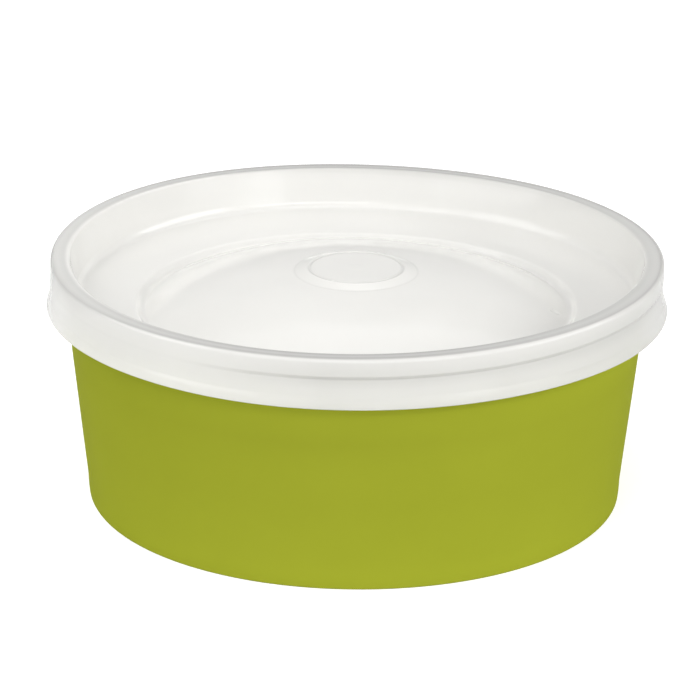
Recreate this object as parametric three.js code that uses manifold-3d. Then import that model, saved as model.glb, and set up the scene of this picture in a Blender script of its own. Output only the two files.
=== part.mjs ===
// Round takeaway salad bowl: a tapered sleeve of coated paper with a rolled rim, a recessed
// paper base held in its turned-in foot, and a translucent plastic lid pressed over the rim.
// Millimetres, +Z up. The origin is on the bowl's axis, in the plane that it stands on.

import * as THREE from 'three';
import { mergeVertices } from 'three/addons/utils/BufferGeometryUtils.js';
import Module from 'manifold-3d';

const wasm = await Module();
wasm.setup();

// Driving dimensions

const ringSegments = 72;       // flats round every turned piece
const clearance = 0.3;         // between pieces that touch on the real object

const paper = 0.45;            // coated paperboard
const bowlHeight = 60.5;       // ground to the top of the rolled rim
const footRadius = 66.93;      // outside of the sleeve at the ground
const rimRadius = 73.1;        // outside of the sleeve, carried up to the rim's top
const curlRadius = 1.4;        // outside of the rolled rim's section
const curlEnd = -110;          // degrees: where the rolled edge stops, under the rim
const curlSteps = 9;
const crimpHeight = 4;         // pressed band at the foot
const crimpBulge = 0.2;
const footRounding = 0.45;
const foldHeight = 7.8;        // edge of the sleeve turned in and up, behind the base's flange
const baseRecess = 8.5;        // ground to the underside of the base
const flangeLift = 1;          // ground to the edge of the base's flange
const seamWidth = 7;           // lap of the sleeve, at the back
const seamBottom = 1.2;
const seamTop = 56.6;          // the rolled rim hides the rest of the lap
const seamBite = 0.25;         // how far the lap's solid reaches into the sleeve

const sheet = 0.5;             // thickness of the lid
const bossTopRadius = 11.7;
const bossTopHeight = 57.5;
const bossRadius = 15.5;
const domeTopHeight = 56.6;    // the panel's dome where the boss meets it
const domeFootRadius = 53.4;
const domeFootHeight = 46.7;
const domePower = 1.7;         // 1 is a straight cone, 2 a round cap
const domeSteps = 6;
const stepRadius = 55;         // ring round the dome
const stepHeight = 48.4;
const ledgeRadius = 69.5;      // where the ledge would meet the plug wall
const ledgeHeight = 50.1;
const ledgeFillet = 2;
const plugTopRadius = 71.5;    // the plug wall leans out to here
const lidHeight = 61.35;
const lidRimRadius = 76.2;
const lidInnerEdge = 0.55;     // rounding of the lid's top, inside and outside
const lidOuterEdge = 0.9;
const snapHeight = 56.3;       // groove under the rolled rim
const snapRadius = 75.75;
const snapRise = 1.1;          // groove to the shoulder above it and to the one below it
const shoulderRadius = 76.45;  // where the skirt starts, below the groove
const lipHeight = 49.6;
const lipRadius = 77.35;
const skirtBow = 0.12;         // how far the skirt bows out between shoulder and lip

// Outlines are lists of [radius, height]

const degrees = THREE.MathUtils.degToRad;

function arc(centreRadius, centreHeight, radius, from, to, steps) {
  const points = [];
  for (let i = 0; i <= steps; i += 1) {
    const angle = degrees(THREE.MathUtils.lerp(from, to, i / steps));
    points.push([centreRadius + radius * Math.cos(angle), centreHeight + radius * Math.sin(angle)]);
  }
  return points;
}

// Fillet of the given radius in the corner at b, on the way from a to c
function roundCorner(a, b, c, radius, steps) {
  const corner = new THREE.Vector2(...b);
  const toA = new THREE.Vector2(...a).sub(corner).normalize();
  const toC = new THREE.Vector2(...c).sub(corner).normalize();
  const half = Math.acos(toA.dot(toC)) / 2;
  const centre = toA.clone().add(toC).normalize().multiplyScalar(radius / Math.sin(half)).add(corner);
  const start = toA.multiplyScalar(radius / Math.tan(half)).add(corner).sub(centre);
  const end = toC.multiplyScalar(radius / Math.tan(half)).add(corner).sub(centre);
  const sweep = Math.atan2(start.cross(end), start.dot(end));
  const points = [];
  for (let i = 0; i <= steps; i += 1) {
    const spoke = start.clone().rotateAround(new THREE.Vector2(), sweep * i / steps);
    points.push([centre.x + spoke.x, centre.y + spoke.y]);
  }
  return points;
}

// The line that runs a fixed distance to the right of an outline
function offsetOutline(points, distance) {
  return points.map((point, i) => {
    const here = new THREE.Vector2(...point);
    const before = i > 0 ? here.clone().sub(new THREE.Vector2(...points[i - 1])).normalize() : null;
    const after = i < points.length - 1 ? new THREE.Vector2(...points[i + 1]).sub(here).normalize() : null;
    const first = before ?? after;
    const second = after ?? before;
    const normal = new THREE.Vector2(first.y + second.y, -first.x - second.x).normalize();
    const stretch = distance / (normal.x * first.y - normal.y * first.x);
    return [Math.max(0, here.x + normal.x * stretch), here.y + normal.y * stretch];
  });
}

// Turns an outline about +Z. An outline that doesn't touch the axis is closed on itself
function turned(outline) {
  const onAxis = outline[0][0] === 0 && outline.at(-1)[0] === 0;
  const loop = onAxis ? outline : [...outline, outline[0]];
  const geometry = new THREE.LatheGeometry(loop.map(([r, z]) => new THREE.Vector2(r, z)), ringSegments);
  return geometry.rotateX(Math.PI / 2);
}

function asSolid(geometry) {
  const bare = geometry.clone();
  bare.deleteAttribute('normal');
  bare.deleteAttribute('uv');
  const welded = mergeVertices(bare, 1e-4);
  return new wasm.Manifold(new wasm.Mesh({
    numProp: 3,
    vertProperties: welded.attributes.position.array,
    triVerts: new Uint32Array(welded.index.array),
  }));
}

function asGeometry(solid) {
  const mesh = solid.getMesh();
  const geometry = new THREE.BufferGeometry();
  geometry.setAttribute('position', new THREE.BufferAttribute(mesh.vertProperties, 3));
  geometry.setIndex(new THREE.BufferAttribute(mesh.triVerts, 1));
  const shaded = geometry.toNonIndexed();
  shaded.computeVertexNormals();
  return shaded;
}

// Paper bowl

const sleeveOutside = (height) => THREE.MathUtils.mapLinear(height, 0, bowlHeight, footRadius, rimRadius);
const sleeveInside = (height) => sleeveOutside(height) - paper;
const flangeOutside = (height) => sleeveInside(height) - clearance;
const flangeInside = (height) => flangeOutside(height) - paper;
const foldOutside = (height) => flangeInside(height) - clearance;
const foldInside = (height) => foldOutside(height) - paper;

function sleeveOutline() {
  const curlHeight = bowlHeight - curlRadius;
  const curlCentre = sleeveInside(curlHeight) + curlRadius;
  const foot = [
    [foldInside(footRounding), footRounding],
    [foldInside(0) + footRounding, 0],
    [footRadius - footRounding, 0],
    [sleeveOutside(footRounding) + crimpBulge, footRounding],
    [sleeveOutside(crimpHeight / 2) + crimpBulge, crimpHeight / 2],
    [sleeveOutside(crimpHeight), crimpHeight],
  ];
  const curlInside = arc(curlCentre, curlHeight, curlRadius - paper, 180, curlEnd, curlSteps);
  const curlOutside = arc(curlCentre, curlHeight, curlRadius, curlEnd, 180, curlSteps);
  const pocket = [
    [sleeveInside(paper), paper],
    [foldOutside(paper), paper],
    [foldOutside(foldHeight), foldHeight],
    [foldInside(foldHeight), foldHeight],
  ];
  return [...foot, ...curlInside, ...curlOutside, ...pocket];
}

// The lap where the sleeve's two ends are glued: a second thickness of paper, seamWidth wide
function seamLap() {
  const skin = turned([
    [sleeveOutside(seamBottom) - seamBite, seamBottom],
    [sleeveOutside(seamBottom) + paper, seamBottom],
    [sleeveOutside(seamTop) + paper, seamTop],
    [sleeveOutside(seamTop) - seamBite, seamTop],
  ]);
  const slice = new THREE.Shape([
    new THREE.Vector2(-seamWidth / 2, footRadius / 2),
    new THREE.Vector2(seamWidth / 2, footRadius / 2),
    new THREE.Vector2(seamWidth / 2, rimRadius * 1.1),
    new THREE.Vector2(-seamWidth / 2, rimRadius * 1.1),
  ]);
  const block = new THREE.ExtrudeGeometry(slice, { depth: bowlHeight, bevelEnabled: false });
  return asSolid(skin).intersect(asSolid(block));
}

function sleeveGeometry() {
  return asGeometry(asSolid(turned(sleeveOutline())).add(seamLap()));
}

function baseGeometry() {
  const baseTop = baseRecess + paper;
  return turned([
    [0, baseRecess],
    [flangeInside(baseRecess), baseRecess],
    [flangeInside(flangeLift), flangeLift],
    [flangeOutside(flangeLift), flangeLift],
    [flangeOutside(baseRecess), baseRecess],
    [flangeOutside(baseTop) - paper, baseTop],
    [0, baseTop],
  ]);
}

// Lid: the outline of its upper side, from the axis out and down to the lip

function domeHeight(radius) {
  const fall = (at) => (at / domeFootRadius) ** domePower;
  return THREE.MathUtils.mapLinear(fall(radius), fall(bossRadius), 1, domeTopHeight, domeFootHeight);
}

function lidUpperSide() {
  const dome = [];
  for (let i = 0; i <= domeSteps; i += 1) {
    const radius = THREE.MathUtils.lerp(bossRadius, domeFootRadius, i / domeSteps);
    dome.push([radius, domeHeight(radius)]);
  }
  const step = [stepRadius, stepHeight];
  const ledgeCorner = [ledgeRadius, ledgeHeight];
  const innerTop = [plugTopRadius, lidHeight];
  const outerTop = [lidRimRadius, lidHeight];
  const snapTop = [lidRimRadius, snapHeight + snapRise];
  const shoulder = [shoulderRadius, snapHeight - snapRise];
  const skirtMiddle = [
    (shoulderRadius + lipRadius) / 2 + skirtBow,
    (snapHeight - snapRise + lipHeight) / 2,
  ];
  return [
    [0, bossTopHeight],
    [bossTopRadius, bossTopHeight],
    ...dome,
    step,
    ...roundCorner(step, ledgeCorner, innerTop, ledgeFillet, 4),
    ...roundCorner(ledgeCorner, innerTop, outerTop, lidInnerEdge, 3),
    ...roundCorner(innerTop, outerTop, snapTop, lidOuterEdge, 3),
    snapTop,
    [snapRadius, snapHeight],
    shoulder,
    skirtMiddle,
    [lipRadius, lipHeight],
  ];
}

function lidGeometry() {
  const upper = lidUpperSide();
  const under = offsetOutline(upper, sheet);
  return turned([...under, ...upper.reverse()]);
}

// Scene graph

function piece(name, geometry, color, roughness, options = {}) {
  const material = new THREE.MeshStandardMaterial({ color, roughness, metalness: 0, ...options });
  const mesh = new THREE.Mesh(geometry, material);
  mesh.name = name;
  return mesh;
}

const saladBowl = new THREE.Group();
saladBowl.add(
  piece('bowl_sleeve', sleeveGeometry(), 0x9fa72f, 0.45),
  piece('bowl_base', baseGeometry(), 0xf1efe8, 0.5),
  piece('lid', lidGeometry(), 0xe9eae4, 0.3, { transparent: true, opacity: 0.6 }),
);

export default saladBowl;
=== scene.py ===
# Takeaway salad bowl: a green paper bowl with a translucent press-on lid, on a white table
import math
import bpy
from mathutils import Matrix, Vector, noise


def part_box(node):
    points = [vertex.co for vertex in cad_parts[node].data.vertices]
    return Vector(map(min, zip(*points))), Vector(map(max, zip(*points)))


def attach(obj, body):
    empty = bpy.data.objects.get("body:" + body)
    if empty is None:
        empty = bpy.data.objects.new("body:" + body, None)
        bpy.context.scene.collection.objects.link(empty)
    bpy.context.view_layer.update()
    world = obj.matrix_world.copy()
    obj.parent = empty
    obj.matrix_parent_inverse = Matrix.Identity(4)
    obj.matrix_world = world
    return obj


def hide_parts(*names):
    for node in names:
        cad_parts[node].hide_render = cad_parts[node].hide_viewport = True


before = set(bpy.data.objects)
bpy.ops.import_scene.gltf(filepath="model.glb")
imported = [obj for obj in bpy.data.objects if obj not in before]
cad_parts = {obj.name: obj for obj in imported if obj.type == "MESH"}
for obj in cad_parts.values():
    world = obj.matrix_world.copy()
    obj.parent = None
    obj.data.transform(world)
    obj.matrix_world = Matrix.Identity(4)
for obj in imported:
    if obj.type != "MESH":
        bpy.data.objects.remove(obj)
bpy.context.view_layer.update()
mm = 0.001           # sizes below are in millimetres, Blender's are in metres
creaseAngle = 42     # degrees: a sharper turn than this shades as an edge

cameraSetup = {
    "distance": 860.0,
    "elevation": 20.22,    # degrees above the table
    "roll": 0.60,
    "lens": 176.5,
    "sensor": 36.0,
    "aimX": -1.30,         # where the camera looks, in the plane of the bowl's axis
    "aimZ": 35.56,
}


def makeCamera(s):
    tilt = math.radians(s["elevation"])
    roll = math.radians(s["roll"])
    forward = Vector((0, math.cos(tilt), -math.sin(tilt)))
    right = Vector((1, 0, 0))
    up = right.cross(forward)
    across = right * math.cos(roll) + up * math.sin(roll)
    upright = up * math.cos(roll) - right * math.sin(roll)
    data = bpy.data.cameras.new("photoCamera")
    data.lens = s["lens"]
    data.sensor_width = s["sensor"]
    data.clip_start = 0.01
    data.clip_end = 50.0
    camera = bpy.data.objects.new("photoCamera", data)
    spin = Matrix((across, upright, -forward)).transposed().to_4x4()
    aim = Vector((s["aimX"], 0, s["aimZ"])) * mm
    camera.matrix_world = Matrix.Translation(aim - forward * s["distance"] * mm) @ spin
    bpy.context.scene.collection.objects.link(camera)
    bpy.context.scene.camera = camera


makeCamera(cameraSetup)
print("camera ready")


# An outline is a list of (radius, height) in millimetres, turned about Z into a piece

def arc(centre, radius, start, end, steps):
    points = []
    for i in range(steps + 1):
        angle = math.radians(start + (end - start) * i / steps)
        points.append((centre[0] + radius * math.cos(angle), centre[1] + radius * math.sin(angle)))
    return points


def roundedPath(corners, steps=6):
    # corners are (radius, height, rounding); a rounding of 0 keeps the corner
    path = []
    for i, (r, z, rounding) in enumerate(corners):
        if not rounding or i in (0, len(corners) - 1):
            path.append((r, z))
            continue
        here = Vector((r, z))
        back = Vector(corners[i - 1][:2]) - here
        ahead = Vector(corners[i + 1][:2]) - here
        reach = min(back.length, ahead.length) * 0.48    # so that two roundings never meet
        half = back.angle(ahead) / 2
        radius = min(rounding, reach * math.tan(half))
        along = radius / math.tan(half)
        toCentre = (back.normalized() + ahead.normalized()).normalized()
        centre = here + toCentre * radius / math.sin(half)
        start = here + back.normalized() * along - centre
        end = here + ahead.normalized() * along - centre
        sweep = start.angle_signed(end)
        for k in range(steps + 1):
            spoke = start.copy()
            spoke.rotate(Matrix.Rotation(-sweep * k / steps, 2))
            path.append((centre.x + spoke.x, centre.y + spoke.y))
    return path


def offsetPath(path, distance):
    # the line a fixed distance to the right of the path
    moved = []
    for i, (r, z) in enumerate(path):
        here = Vector((r, z))
        before = (here - Vector(path[i - 1])).normalized() if i else None
        after = (Vector(path[i + 1]) - here).normalized() if i < len(path) - 1 else None
        first = before or after
        second = after or before
        normal = Vector((first.y + second.y, -first.x - second.x)).normalized()
        stretch = distance / max(0.5, normal.x * first.y - normal.y * first.x)    # no long spikes
        moved.append((max(0.0, r + normal.x * stretch), z + normal.y * stretch))
    return moved


def turnedMesh(name, outline, angles, slots, shape):
    # slots(i, angle) gives the material of a stretch of outline, shape(i, r, z, angle) moves a point
    closed = outline[0][0] > 0
    ahead = outline[1:] + outline[:1]
    clockwise = sum(ra * zb - rb * za for (ra, za), (rb, zb) in zip(outline, ahead)) < 0
    verts = []
    rings = []
    for i, (r, z) in enumerate(outline):
        if r < 1e-6:
            rings.append([len(verts)] * len(angles))
            verts.append((0, 0, z * mm))
            continue
        ring = []
        for a in angles:
            rr, zz = shape(i, r, z, a)
            ring.append(len(verts))
            verts.append((rr * math.cos(a) * mm, rr * math.sin(a) * mm, zz * mm))
        rings.append(ring)
    faces = []
    faceSlots = []
    count = len(angles)
    spans = len(outline) if closed else len(outline) - 1
    for i in range(spans):
        low = rings[i]
        high = rings[(i + 1) % len(outline)]
        for j in range(count):
            k = (j + 1) % count
            corners = [low[j], low[k], high[k], high[j]]
            corners = [c for n, c in enumerate(corners) if c not in corners[:n]]
            if len(corners) > 2:
                faces.append(corners[::-1] if clockwise else corners)
                faceSlots.append(slots(i, angles[j]))
    mesh = bpy.data.meshes.new(name)
    mesh.from_pydata(verts, [], faces)
    mesh.polygons.foreach_set("material_index", faceSlots)
    mesh.polygons.foreach_set("use_smooth", [True] * len(faces))
    mesh.set_sharp_from_angle(angle=math.radians(creaseAngle))
    piece = bpy.data.objects.new(name, mesh)
    bpy.context.scene.collection.objects.link(piece)
    return piece


def onlySlot(i, angle):
    return 0


def evenAngles(count):
    return [2 * math.pi * i / count for i in range(count)]


def withExtraAngles(angles, centres, step, each):
    # more angles close together on both sides of each centre
    found = set(round(a, 6) for a in angles)
    for centre in centres:
        for k in range(-each, each + 1):
            found.add(round(centre + k * step, 6))
    return sorted(found)


def portion(low, high, value):
    return min(1.0, max(0.0, (value - low) / (high - low)))


def smoothStep(low, high, value):
    t = portion(low, high, value)
    return t * t * (3 - 2 * t)


def newMaterial(name):
    material = bpy.data.materials.new(name)
    material.use_nodes = True
    nodes = material.node_tree.nodes
    shader = nodes["Principled BSDF"]
    return material, nodes, material.node_tree.links, shader


def addNoise(nodes, links, coords, scale, detail, roughness=0.5):
    node = nodes.new("ShaderNodeTexNoise")
    node.inputs["Scale"].default_value = scale
    node.inputs["Detail"].default_value = detail
    node.inputs["Roughness"].default_value = roughness
    links.new(coords, node.inputs["Vector"])
    return node.outputs["Fac"]


def addRange(nodes, links, value, fromLow, fromHigh, toLow, toHigh):
    node = nodes.new("ShaderNodeMapRange")
    node.inputs["From Min"].default_value = fromLow
    node.inputs["From Max"].default_value = fromHigh
    node.inputs["To Min"].default_value = toLow
    node.inputs["To Max"].default_value = toHigh
    links.new(value, node.inputs["Value"])
    return node.outputs["Result"]


def fillSocket(links, socket, value):
    # value is a number, a colour or another node's output
    if isinstance(value, (tuple, float, int)):
        socket.default_value = value
    else:
        links.new(value, socket)


def addMix(nodes, links, fac, a, b, blend="MIX"):
    node = nodes.new("ShaderNodeMix")
    node.data_type = "RGBA"
    node.blend_type = blend
    fillSocket(links, node.inputs[0], fac)
    fillSocket(links, node.inputs[6], a)
    fillSocket(links, node.inputs[7], b)
    return node.outputs[2]


def multiplyColors(nodes, links, a, b):
    return addMix(nodes, links, 1.0, a, b, blend="MULTIPLY")


def addMath(nodes, links, operation, a, b=0.0):
    node = nodes.new("ShaderNodeMath")
    node.operation = operation
    fillSocket(links, node.inputs[0], a)
    fillSocket(links, node.inputs[1], b)
    return node.outputs["Value"]


def addBump(nodes, links, height, depth, strength):
    node = nodes.new("ShaderNodeBump")
    node.inputs["Distance"].default_value = depth * mm
    node.inputs["Strength"].default_value = strength
    links.new(height, node.inputs["Height"])
    return node.outputs["Normal"]


def addRamp(nodes, links, value, stops):
    # stops are (place in mm, tone)
    node = nodes.new("ShaderNodeValToRGB")
    low = stops[0][0] * mm
    span = stops[-1][0] * mm - low
    ramp = node.color_ramp
    while len(ramp.elements) < len(stops):
        ramp.elements.new(0.5)
    for element, (place, tone) in zip(ramp.elements, stops):
        element.position = (place * mm - low) / span
        element.color = (tone, tone, tone, 1)
    links.new(addRange(nodes, links, value, low, low + span, 0.0, 1.0), node.inputs["Fac"])
    return node.outputs["Color"]


def objectCoords(nodes):
    return nodes.new("ShaderNodeTexCoord").outputs["Object"]


def splitCoords(nodes, links, coords):
    split = nodes.new("ShaderNodeSeparateXYZ")
    links.new(coords, split.inputs["Vector"])
    return [split.outputs[axis] for axis in "XYZ"]


def addGrain(nodes, links, shader, coords, s):
    # fine grain that varies the roughness and the relief. Noise runs from about 0.2 to 0.8
    grain = addNoise(nodes, links, coords, s["grainScale"], s["grainDetail"], s["grainRoughness"])
    low, high = s["roughness"]
    links.new(addRange(nodes, links, grain, 0.2, 0.8, low, high), shader.inputs["Roughness"])
    relief = addBump(nodes, links, grain, s["grainDepth"], s["grainStrength"])
    links.new(relief, shader.inputs["Normal"])


# scales of noise are per metre, depths of grain in millimetres
greenPaper = {
    "print": (0.320, 0.353, 0.0272, 1),
    "printDark": (0.294, 0.327, 0.0237, 1),
    "mottleScale": 38.0,
    "mottleShare": 0.5,
    # painted light: the green is made lighter near the foot, where bounce light from the table falls,
    # and just under the lid's lip, where it lifts the lip's shade: (height in mm, tone)
    "paintedLight": [(0.0, 0.965), (22.0, 0.874), (38.0, 0.874), (43.0, 0.94), (47.0, 1.0), (60.0, 1.0)],
    "gloss": 0.004,
    "roughness": (0.50, 0.62),
    "grainScale": 900.0,
    "grainDetail": 3,
    "grainRoughness": 0.6,
    "grainDepth": 0.03,
    "grainStrength": 0.35,
}


def greenPaperMaterial(s):
    material, nodes, links, shader = newMaterial("greenPaper")
    coords = objectCoords(nodes)
    mottle = addNoise(nodes, links, coords, s["mottleScale"], detail=4)
    amount = addRange(nodes, links, mottle, 0.3, 0.75, 0.0, s["mottleShare"])
    printed = addMix(nodes, links, amount, s["print"], s["printDark"])
    # painted light: the green's tone follows height, lighter near the foot and just under the lid's lip
    paintedLight = addRamp(nodes, links, splitCoords(nodes, links, coords)[2], s["paintedLight"])
    links.new(multiplyColors(nodes, links, printed, paintedLight), shader.inputs["Base Color"])
    addGrain(nodes, links, shader, coords, s)
    shader.inputs["Specular IOR Level"].default_value = s["gloss"]
    return material


whitePaper = {
    "color": (0.89, 0.885, 0.86, 1),
    "shade": (0.86, 0.85, 0.82, 1),
    "mottleScale": 55.0,
    "mottleShare": 0.6,
    "roughness": (0.33, 0.46),
    "grainScale": 800.0,
    "grainDetail": 3,
    "grainRoughness": 0.6,
    "grainDepth": 0.04,
    "grainStrength": 0.35,
}


def whitePaperMaterial(s):
    material, nodes, links, shader = newMaterial("whitePaper")
    coords = objectCoords(nodes)
    mottle = addNoise(nodes, links, coords, s["mottleScale"], detail=3)
    amount = addRange(nodes, links, mottle, 0.3, 0.8, 0.0, s["mottleShare"])
    links.new(addMix(nodes, links, amount, s["color"], s["shade"]), shader.inputs["Base Color"])
    addGrain(nodes, links, shader, coords, s)
    return material


cutEdge = {
    "core": (0.66, 0.60, 0.48, 1),
    "fibre": (0.80, 0.77, 0.68, 1),
    "fibreScale": 2600.0,
    "fibreDepth": 0.08,
    "roughness": 0.85,
}


def cutEdgeMaterial(s):
    material, nodes, links, shader = newMaterial("cutPaperEdge")
    coords = objectCoords(nodes)
    fibre = addNoise(nodes, links, coords, s["fibreScale"], detail=4, roughness=0.7)
    links.new(addMix(nodes, links, fibre, s["core"], s["fibre"]), shader.inputs["Base Color"])
    relief = addBump(nodes, links, fibre, s["fibreDepth"], strength=0.6)
    links.new(relief, shader.inputs["Normal"])
    shader.inputs["Roughness"].default_value = s["roughness"]
    return material


lidPlastic = {
    "color": (0.967, 0.960, 0.930, 1),
    "cloud": 0.975,            # the milkier patches let a little less light back
    "cloudScale": 26.0,
    "clearness": 0.35,
    "ior": 1.49,
    "roughness": (0.07, 0.15),
    "grainScale": 420.0,
    "grainDetail": 2,
    "grainRoughness": 0.5,
    "grainDepth": 0.04,
    "grainStrength": 0.15,
    # painted shade: how bright the plastic looks with what lies behind it, as tones that darken it by
    # radius; they paint shade and dark reflections at its lines, bends and rim, darker at the front and
    # back than at the sides: (radius in mm, tone at the front and back, tone at the sides)
    "across": [
        (0.0, 1.0, 1.0),
        (10.9, 1.0, 1.0),
        (11.3, 0.84, 0.88),    # painted shade in the moulded line round the boss
        (11.8, 0.84, 0.88),
        (12.2, 1.0, 1.0),
        (15.0, 1.0, 1.0),
        (15.35, 0.90, 0.92),   # painted shade at the foot of the boss
        (15.8, 1.0, 1.0),
        (56.0, 1.0, 1.0),
        (58.0, 0.98, 1.0),     # painted shade on the ledge at the front and back
        (67.8, 0.98, 1.0),
        (68.4, 1.0, 1.0),
        (70.0, 1.0, 1.0),
        (70.4, 0.955, 1.0),    # painted shade on the plug wall at the front and back
        (71.4, 0.955, 1.0),
        (72.1, 0.69, 0.83),    # painted shade: a dark line where the sheet turns over the rim
        (72.45, 0.61, 0.79),
        (73.2, 0.68, 0.81),
        (73.9, 0.71, 0.83),    # painted shade over the rolled paper rim under it
        (74.5, 0.61, 0.81),
        (74.9, 0.62, 0.78),
        (75.4, 0.69, 0.62),
        (75.9, 1.0, 0.94),
    ],
    # the same painted shade down the outside, darkest in the groove and on the skirt below it, lighter
    # at the left: (height in mm, tone where the lid has its groove, tone at the left where it has none)
    "down": [
        (49.5, 0.82, 0.95),
        (54.0, 0.82, 0.95),
        (55.2, 0.80, 0.95),
        (56.0, 0.78, 0.95),
        (56.6, 0.78, 0.94),
        (57.3, 0.83, 0.96),
        (60.4, 0.87, 0.96),
        (61.3, 0.92, 0.98),
    ],
    "outside": (75.2, 75.7),       # radii between which the painted shade of the outside takes over
    "grooveSide": (-0.55, -0.1),   # x over radius: no painted groove shade below the first, all of it above the second
}


def twoRamps(nodes, links, value, stops, fac):
    # stops are (place in mm, tone where fac is 1, tone where it is 0)
    first = addRamp(nodes, links, value, [(place, tone) for place, tone, _ in stops])
    second = addRamp(nodes, links, value, [(place, tone) for place, _, tone in stops])
    return addMix(nodes, links, fac, second, first)


def lidPlasticMaterial(s):
    material, nodes, links, shader = newMaterial("translucentLid")
    coords = objectCoords(nodes)
    cloudy = tuple(c * s["cloud"] for c in s["color"][:3]) + (1,)
    cloud = addNoise(nodes, links, coords, s["cloudScale"], detail=3)
    milkiness = addRange(nodes, links, cloud, 0.3, 0.75, 0.0, 1.0)
    milk = addMix(nodes, links, milkiness, s["color"], cloudy)

    x, y, z = splitCoords(nodes, links, coords)
    squareX = addMath(nodes, links, "MULTIPLY", x, x)
    squareY = addMath(nodes, links, "MULTIPLY", y, y)
    radius = addMath(nodes, links, "SQRT", addMath(nodes, links, "ADD", squareX, squareY))
    frontness = addMath(nodes, links, "POWER", addMath(nodes, links, "DIVIDE", y, radius), 2.0)
    rightness = addMath(nodes, links, "DIVIDE", x, radius)
    hasGroove = addRange(nodes, links, rightness, *s["grooveSide"], 0.0, 1.0)
    # painted shade: the tone tables darken the plastic's colour by radius and, on the outside, by
    # height; frontness picks their front and back tones and hasGroove their grooved tones
    across = twoRamps(nodes, links, radius, s["across"], frontness)
    down = twoRamps(nodes, links, z, s["down"], hasGroove)
    inner, outer = s["outside"]
    outside = addRange(nodes, links, radius, inner * mm, outer * mm, 0.0, 1.0)
    paintedShadeOutside = addMix(nodes, links, outside, (1, 1, 1, 1), down)
    tone = multiplyColors(nodes, links, across, paintedShadeOutside)
    links.new(multiplyColors(nodes, links, milk, tone), shader.inputs["Base Color"])

    addGrain(nodes, links, shader, coords, s)
    shader.inputs["IOR"].default_value = s["ior"]
    shader.inputs["Transmission Weight"].default_value = s["clearness"]
    return material


# thin paper and plastic are never quite true: each wave is (crests, size in mm, direction of a crest)
warp = {
    "rimLift": ((2, 0.49, -29), (3, 0.12, 22), (4, 0.07, 45)),
    "lipLift": ((2, 0.30, 90), (3, 0.17, -40), (4, 0.09, 40)),
    "rimOval": ((2, 0.27, 90),),
    "footOval": ((2, 0.19, 95), (3, 0.09, -27), (4, 0.07, -40)),
    "rimShift": 0.3,       # towards +X
}


def waves(parts, angle):
    total = 0.0
    for crests, size, towards in parts:
        total += size * math.cos(crests * (angle - math.radians(towards)))
    return total


def warpRim(r, z, angle, amount, skirt=0.0):
    # amount is 1 at the rim, skirt is 1 at the lid's lip
    lift = (1 - skirt) * waves(warp["rimLift"], angle) + skirt * waves(warp["lipLift"], angle)
    r += amount * (waves(warp["rimOval"], angle) + warp["rimShift"] * math.cos(angle))
    return r, z + amount * lift


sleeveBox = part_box("bowl_sleeve")
bowl = {
    "paper": 0.45,
    "gap": 0.3,                # between glued layers
    "height": sleeveBox[1].z / mm,
    "footRadius": 66.93,       # the cone's outside, carried down to the table
    "rimRadius": 73.1,         # and up to the rim's top
    "wallRings": 44,
    "around": 320,
    "curlRadius": 1.4,
    "curlEnd": -110,           # degrees: where the rolled edge stops, under the rim
    "curlSteps": (20, 24),     # inside and outside of the roll
    "foldHeight": 7.8,         # edge turned in and up behind the base's flange
    "footRounding": 0.45,
    "crimpBulge": 0.2,         # pressed band at the foot
    "crimpFade": (1.5, 5.5),   # it fades out between these heights
    "lapAngle": 90.0,          # the glued lap is at the back
    "lapWidth": 7.0,
    "lapBottom": 1.2,
    "lapTop": 56.6,
    "lapCut": (-0.002, 0.001),    # radians from the lap's edge: the cut side is steep
    "lapSoft": (-0.004, 0.006),   # and the other side soft
    "lapCore": (-0.0035, 0.0005),  # where the paper's core shows
    "lapStep": 0.0016,            # radians between the extra angles at both sides
    "lapEnds": (0.3, 0.5),        # half of the fade at the lap's lower and upper end
    "wallWave": 0.07,
    "waveAround": 1.6,         # more makes the waves shorter round the bowl
    "waveUp": 30.0,            # length of a wave up the wall
    "waveFrom": (3, 15),       # heights between which the waves set in
    "waveTo": (48, 56),        # and fade out again
    "warpFrom": (38, 57),      # heights between which the rim's warp sets in
}


def sleeveRadius(z):
    return bowl["footRadius"] + (bowl["rimRadius"] - bowl["footRadius"]) * z / bowl["height"]


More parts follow.
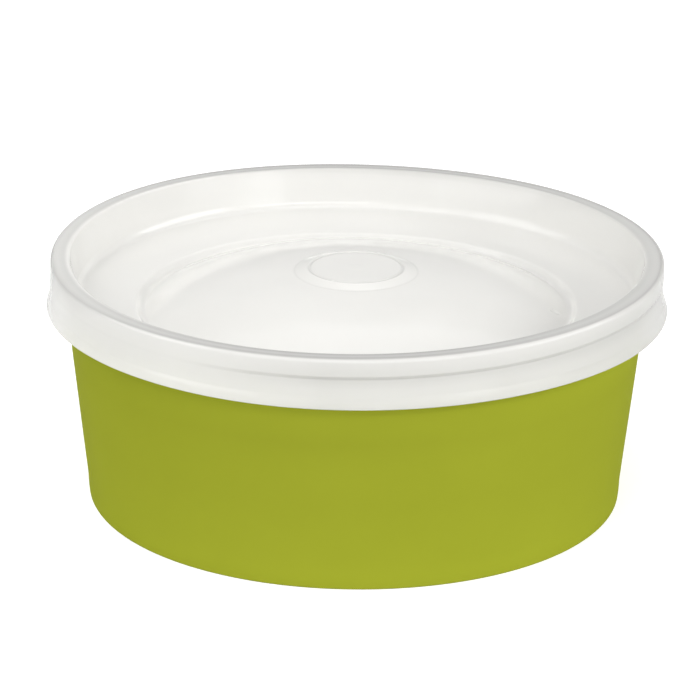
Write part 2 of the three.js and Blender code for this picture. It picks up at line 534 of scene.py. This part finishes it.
def makeSleeve(s):
    paper = s["paper"]
    curlZ = s["height"] - s["curlRadius"]
    curlCentre = (sleeveRadius(curlZ) - paper + s["curlRadius"], curlZ)
    curlInSteps, curlOutSteps = s["curlSteps"]
    layers = paper * 2 + s["gap"] * 2
    rounding = s["footRounding"]

    def crimp(z):
        return s["crimpBulge"] * (1 - smoothStep(*s["crimpFade"], z))

    # outside: from the folded edge under the foot and up the printed wall
    fold = sleeveRadius(0) - layers - paper * 2
    outside = [(fold, rounding)]
    outside += arc((fold + rounding, rounding), rounding, 180, 270, 4)[1:]
    footOut = sleeveRadius(rounding) + crimp(rounding)
    outside += arc((footOut - rounding, rounding), rounding, 270, 360, 5)
    for i in range(1, s["wallRings"]):
        z = rounding + (curlZ - rounding) * i / s["wallRings"]
        outside.append((sleeveRadius(z) + crimp(z), z))
    greenEnd = len(outside)
    curlIn = arc(curlCentre, s["curlRadius"] - paper, 180, s["curlEnd"], curlInSteps)
    edgeAt = greenEnd + len(curlIn) - 1
    curlOut = arc(curlCentre, s["curlRadius"], s["curlEnd"], 180, curlOutSteps)

    # inside: down the white wall and round the pocket that holds the base's flange
    pocketTop = sleeveRadius(paper) - paper
    foldOut = sleeveRadius(0) - layers - paper
    lean = sleeveRadius(s["foldHeight"]) - sleeveRadius(0)
    midHeight = 30
    inside = [
        (sleeveRadius(midHeight) - paper, midHeight),
        (sleeveRadius(s["foldHeight"]) - paper, s["foldHeight"]),
        (pocketTop, paper),
        (foldOut, paper),
        (foldOut + lean, s["foldHeight"]),
    ]
    foldEdge = len(outside) + len(curlIn) + len(curlOut) + len(inside) - 1
    inside.append((fold + lean, s["foldHeight"]))
    outline = outside + curlIn + curlOut + inside

    lapMiddle = math.radians(s["lapAngle"])
    midRadius = 70
    halfLap = s["lapWidth"] / 2 / midRadius
    lapSides = (lapMiddle - halfLap, lapMiddle + halfLap)
    angles = withExtraAngles(evenAngles(s["around"]), lapSides, s["lapStep"], 6)
    cutFrom, cutTo = s["lapCut"]
    softFrom, softTo = s["lapSoft"]
    bottomFade, topFade = s["lapEnds"]

    def lap(z, angle):
        away = angle - lapMiddle
        hard = smoothStep(halfLap + cutFrom, halfLap + cutTo, away)
        soft = smoothStep(-halfLap + softFrom, -halfLap + softTo, away)
        ends = smoothStep(s["lapBottom"] - bottomFade, s["lapBottom"] + bottomFade, z)
        ends *= 1 - smoothStep(s["lapTop"] - topFade, s["lapTop"] + topFade, z)
        return paper * soft * (1 - hard) * ends

    def shape(i, r, z, angle):
        if 1 < i < greenEnd:
            around = s["waveAround"]
            place = Vector((math.cos(angle) * around, math.sin(angle) * around, z / s["waveUp"]))
            height = smoothStep(*s["waveFrom"], z) * (1 - smoothStep(*s["waveTo"], z))
            r += s["wallWave"] * noise.noise(place) * height
            r += lap(z, angle)
        r += waves(warp["footOval"], angle) * (1 - z / s["height"])
        return warpRim(r, z, angle, smoothStep(*s["warpFrom"], z))

    green, white, cut = range(3)
    coreFrom, coreTo = s["lapCore"]

    def slots(i, angle):
        if i < 3:
            return white
        if i < greenEnd - 1:
            away = angle - lapMiddle - halfLap
            onCut = coreFrom < away < coreTo and s["lapBottom"] < outline[i][1] < s["lapTop"]
            return cut if onCut else green
        if i < edgeAt:
            return green
        if i == edgeAt or i == foldEdge - 1:
            return cut
        return white

    piece = turnedMesh("paperSleeve", outline, angles, slots, shape)
    for material in (greenPaperMat, whitePaperMat, cutEdgeMat):
        piece.data.materials.append(material)
    return piece


base = {
    "recess": 8.5,             # table to the underside of the panel
    "flangeLift": 1.0,         # table to the edge of the flange
    "foldRounding": 0.25,      # under the panel
    "edgeRounding": 0.7,       # on top of it
    "panelRadius": 62.0,
    "sag": 0.12,
    "wave": 0.10,
    "waveSize": 26.0,
    "rings": 12,
    "around": 192,
}


def makeBase(s):
    paper = bowl["paper"]
    low = s["flangeLift"]
    high = s["recess"] + paper

    def flange(z, inset):
        return sleeveRadius(z) - paper - bowl["gap"] - inset

    under = roundedPath([
        (0, s["recess"], 0),
        (flange(s["recess"], paper), s["recess"], s["foldRounding"]),
        (flange(low, paper), low, 0),
    ])
    over = roundedPath([
        (flange(low, 0), low, 0),
        (flange(high, 0), high, s["edgeRounding"]),
        (0, high, 0),
    ])
    outline = []
    for part in (under, over):
        for (ra, za), (rb, _) in zip(part, part[1:]):
            outline.append((ra, za))
            if 0 in (ra, rb):    # the flat panel gets rings
                outline += [(ra + (rb - ra) * k / s["rings"], za) for k in range(1, s["rings"])]
        outline.append(part[-1])

    def shape(i, r, z, angle):
        if r < s["panelRadius"]:
            x = r * math.cos(angle)
            y = r * math.sin(angle)
            z += s["wave"] * noise.noise(Vector((x / s["waveSize"], y / s["waveSize"], 3.1)))
            z -= s["sag"] * (1 - (r / s["panelRadius"]) ** 2)
        r += waves(warp["footOval"], angle) * r / bowl["footRadius"]
        return r, z

    piece = turnedMesh("paperBase", outline, evenAngles(s["around"]), onlySlot, shape)
    piece.data.materials.append(whitePaperMat)
    return piece


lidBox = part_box("lid")
lidHeight = lidBox[1].z / mm
lid = {
    "sheet": 0.5,
    # corners of the upper side, from the boss out and down to the lip: (radius, height, rounding)
    "bossTop": (11.7, 57.5, 0),
    "boss": (15.4, 56.6, 0.3),
    "domeFoot": (53.4, 46.7, 2.0),
    "step": (55.0, 48.4, 1.8),
    "ledge": (68.8, 50.9, 1.6),
    "bevel": (69.75, 52.4, 4.0),     # a narrow bevel leads from the ledge into the plug wall
    "plugTop": (71.5, lidHeight, 0.55),
    "rim": (76.2, lidHeight, 0.9),
    "band": (76.2, 57.3, 0.4),
    "groove": (75.7, 56.4, 0.5),
    "skirt": (76.05, 54.4, 2.5),
    "skirtMiddle": (76.5, 52.0, 4.0),
    "lip": (lidBox[1].x / mm - 0.02, 49.6, 0),
    # a fine moulded line round the boss: (out from its edge, up from its top, rounding)
    "bossLine": ((-0.55, 0.0, 0.3), (-0.1, -0.16, 0.2), (0.45, -0.02, 0.3)),
    "gateRadius": 1.0,     # where the plastic was let in, a low nub in the middle of the boss
    "gateRise": 0.3,
    "gateSide": (0.5, 1.1),
    "pinAt": (49.2, -6.4),    # round mark left by an ejector pin
    "pinRadius": 1.1,
    "pinDepth": 0.25,
    "pinSide": (0.6, 1.1),
    "domePower": 2.6,      # 1 is a straight cone, higher is flatter in the middle
    "domeRings": 30,
    "domeWave": 0.16,
    "domeWaveSize": 15.0,
    "domeWaveFull": (22, 28),        # radii between which the wave is full
    "domeWaveEnd": 38,
    "grooveIn": (-125, -95),         # degrees: the groove sets in between these
    "grooveOut": (91.67, 126.05),    # and fades out between these, so the left side has none
    "plainFoot": (76.5, 52.6),       # there the side runs straight, from this radius and height
    "plainTop": 60.2,                # up to this height
    "roundingSteps": 5,
    "around": 320,
}
lidOrder = ("ledge", "bevel", "plugTop", "rim", "band", "groove", "skirt", "skirtMiddle", "lip")


def domeHeight(s, r):
    bossR, bossZ, _ = s["boss"]
    footR, footZ, _ = s["domeFoot"]
    top = (bossR / footR) ** s["domePower"]
    here = (r / footR) ** s["domePower"]
    return bossZ + (footZ - bossZ) * (here - top) / (1 - top)


def domeRadii(s):
    # even rings, closer together at the pin mark
    bossR = s["boss"][0]
    width = s["domeFoot"][0] - bossR
    pinR = math.hypot(*s["pinAt"])
    radii = [bossR + width * i / s["domeRings"] for i in range(1, s["domeRings"] - 1)]
    radii = [r for r in radii if abs(r - pinR) > 1.3 * s["pinRadius"]]
    radii += [pinR + s["pinRadius"] * k / 4 for k in range(-5, 6)]
    return sorted(radii)


def lidCorners(s):
    edge, top, _ = s["bossTop"]
    corners = [(edge * k / 12, top, 0) for k in range(11)]
    corners += [(edge + out, top + up, rounding) for out, up, rounding in s["bossLine"]]
    corners.append(s["boss"])
    corners += [(r, domeHeight(s, r), 0) for r in domeRadii(s)]
    corners += [s["domeFoot"], s["step"]]
    stepR, stepZ, _ = s["step"]
    ledgeR, ledgeZ, _ = s["ledge"]
    for part in (0.25, 0.5):
        corners.append((stepR + (ledgeR - stepR) * part, stepZ + (ledgeZ - stepZ) * part, 0))
    corners += [s[name] for name in lidOrder]
    return corners


def makeLid(s):
    sheet = s["sheet"]
    upper = roundedPath(lidCorners(s), s["roundingSteps"])
    under = offsetPath(upper, sheet)
    lipOut = Vector(upper[-1])
    lipIn = Vector(under[-1])
    lipMiddle = (lipOut + lipIn) / 2
    lip = []
    for k in range(1, 6):
        angle = math.pi * k / 6
        down = Vector((0, -sheet / 2)) * math.sin(angle)
        lip.append(tuple(lipMiddle + (lipOut - lipMiddle) * math.cos(angle) + down))
    outline = upper + lip + under[::-1]

    plugR = s["plugTop"][0]
    rimR = s["rim"][0]
    bandZ = s["band"][1]
    lipZ = s["lip"][1]
    footR, footZ = s["plainFoot"]
    grooveIn = [math.radians(a) for a in s["grooveIn"]]
    grooveOut = [math.radians(a) for a in s["grooveOut"]]
    pinX, pinY = s["pinAt"]
    waveFrom, waveTo = s["domeWaveFull"]

    def shape(i, r, z, angle):
        x = r * math.cos(angle)
        y = r * math.sin(angle)
        fade = smoothStep(s["boss"][0], waveFrom, r) * (1 - smoothStep(waveTo, s["domeWaveEnd"], r))
        place = Vector((x / s["domeWaveSize"], y / s["domeWaveSize"], 0.7))
        z += s["domeWave"] * fade * noise.noise(place)
        if i < len(upper):
            fromPin = math.hypot(x - pinX, y - pinY) / s["pinRadius"]
            z -= s["pinDepth"] * (1 - smoothStep(*s["pinSide"], fromPin))
            z += s["gateRise"] * (1 - smoothStep(*s["gateSide"], r / s["gateRadius"]))
        skirt = 0.0
        if r > plugR + sheet:
            if footZ < z < s["plainTop"]:
                around = (angle + math.pi) % (2 * math.pi) - math.pi
                grooved = smoothStep(*grooveIn, around) * (1 - smoothStep(*grooveOut, around))
                straight = footR + (rimR - footR) * (z - footZ) / (s["plainTop"] - footZ)
                if i >= len(upper) + len(lip):
                    straight -= sheet
                r += (1 - grooved) * (straight - r)
            skirt = portion(bandZ, lipZ, z)
        amount = min(1.0, (r / plugR) ** 2)
        return warpRim(r, z, angle, amount, skirt)

    pinAngle = math.atan2(pinY, pinX) % (2 * math.pi)
    pinStep = s["pinRadius"] / math.hypot(pinX, pinY) / 8
    angles = withExtraAngles(evenAngles(s["around"]), [pinAngle], pinStep, 10)
    piece = turnedMesh("frostedLid", outline, angles, onlySlot, shape)
    piece.data.materials.append(lidPlasticMat)
    return piece


greenPaperMat = greenPaperMaterial(greenPaper)
whitePaperMat = whitePaperMaterial(whitePaper)
cutEdgeMat = cutEdgeMaterial(cutEdge)
lidPlasticMat = lidPlasticMaterial(lidPlastic)
print("materials ready")

paperSleeve = makeSleeve(bowl)
paperBase = makeBase(base)
frostedLid = makeLid(lid)
for piece, node, slotName in (
    (paperSleeve, "bowl_sleeve", "green_paper"),
    (paperBase, "bowl_base", "white_paper"),
    (frostedLid, "lid", "translucent_lid"),
):
    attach(piece, "root")
    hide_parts(node)
print("bowl and lid ready")


table = {
    "size": 8.0,           # metres
    "color": (0.80, 0.80, 0.795, 1),
    "patch": (0.79, 0.79, 0.785, 1),
    "patchScale": 3.0,
    "roughness": 0.9,
    "gloss": 0.1,
    "glow": 0.45,          # a lit white sweep, as the camera sees it
}


def makeTable(s):
    half = s["size"] / 2
    corners = [(-half, -half, 0), (half, -half, 0), (half, half, 0), (-half, half, 0)]
    mesh = bpy.data.meshes.new("table")
    mesh.from_pydata(corners, [], [(0, 1, 2, 3)])
    piece = bpy.data.objects.new("table", mesh)
    material, nodes, links, shader = newMaterial("tableTop")
    patches = addNoise(nodes, links, objectCoords(nodes), s["patchScale"], detail=2)
    links.new(addMix(nodes, links, patches, s["color"], s["patch"]), shader.inputs["Base Color"])
    shader.inputs["Roughness"].default_value = s["roughness"]
    shader.inputs["Specular IOR Level"].default_value = s["gloss"]
    shader.inputs["Emission Color"].default_value = (1, 1, 1, 1)
    seen = nodes.new("ShaderNodeLightPath").outputs["Is Camera Ray"]
    glow = addRange(nodes, links, seen, 0.0, 1.0, 0.0, s["glow"])
    links.new(glow, shader.inputs["Emission Strength"])
    mesh.materials.append(material)
    bpy.context.scene.collection.objects.link(piece)


# softboxes, all turned to the middle of the bowl. towards: 0 is +X and -90 the camera's side.
# Angles are in degrees, distance and size in metres, power in watts
lightAim = Vector((0, 0, 0.03))
lights = {
    "key": {"towards": -69, "elevation": 30, "distance": 1.7, "size": (1.5, 0.16), "power": 6.15},
    "front": {"towards": -84, "elevation": 8, "distance": 2.2, "size": (4.0, 0.7), "power": 9.2},
    "overhead": {"towards": -92, "elevation": 63, "distance": 1.7, "size": (1.8, 0.3), "power": 7.85},
    "frontLeft": {"towards": -110, "elevation": 40, "distance": 1.7, "size": (1.4, 0.6), "power": 3.4},
    "lowLeft": {"towards": -148, "elevation": 16, "distance": 1.7, "size": (1.4, 0.6), "power": 3.4},
    "lowRight": {"towards": -35, "elevation": 15, "distance": 1.7, "size": (1.4, 0.6), "power": 2.95},
    "right": {"towards": -5, "elevation": 25, "distance": 1.7, "size": (1.4, 0.7), "power": 9.5},
    "card": {"towards": 180, "elevation": 45, "distance": 0.32, "size": (0.25, 0.2), "power": 0.33},
    "backTop": {"towards": 98, "elevation": 60, "distance": 1.7, "size": (2.0, 0.8), "power": 3.1},
    "back": {"towards": 100, "elevation": 20, "distance": 2.0, "size": (2.4, 0.8), "power": 0.6},
}


def makeLight(name, s):
    data = bpy.data.lights.new(name, "AREA")
    data.shape = "RECTANGLE"
    data.size, data.size_y = s["size"]
    data.energy = s["power"]
    lamp = bpy.data.objects.new(name, data)
    turn = math.radians(s["towards"])
    rise = math.radians(s["elevation"])
    way = Vector((math.cos(turn) * math.cos(rise), math.sin(turn) * math.cos(rise), math.sin(rise)))
    lamp.location = lightAim + way * s["distance"]
    lamp.rotation_euler = (-way).to_track_quat("-Z", "Y").to_euler()
    bpy.context.scene.collection.objects.link(lamp)


studioWhite = {"color": (1, 1, 1, 1), "strength": 0.45}


def makeWorld(s):
    world = bpy.data.worlds.new("studio")
    world.use_nodes = True
    background = world.node_tree.nodes["Background"]
    background.inputs["Color"].default_value = s["color"]
    background.inputs["Strength"].default_value = s["strength"]
    bpy.context.scene.world = world


makeTable(table)
for lightName, setup in lights.items():
    makeLight(lightName, setup)
makeWorld(studioWhite)
bpy.context.scene.view_settings.view_transform = "Standard"
print("table and light ready")
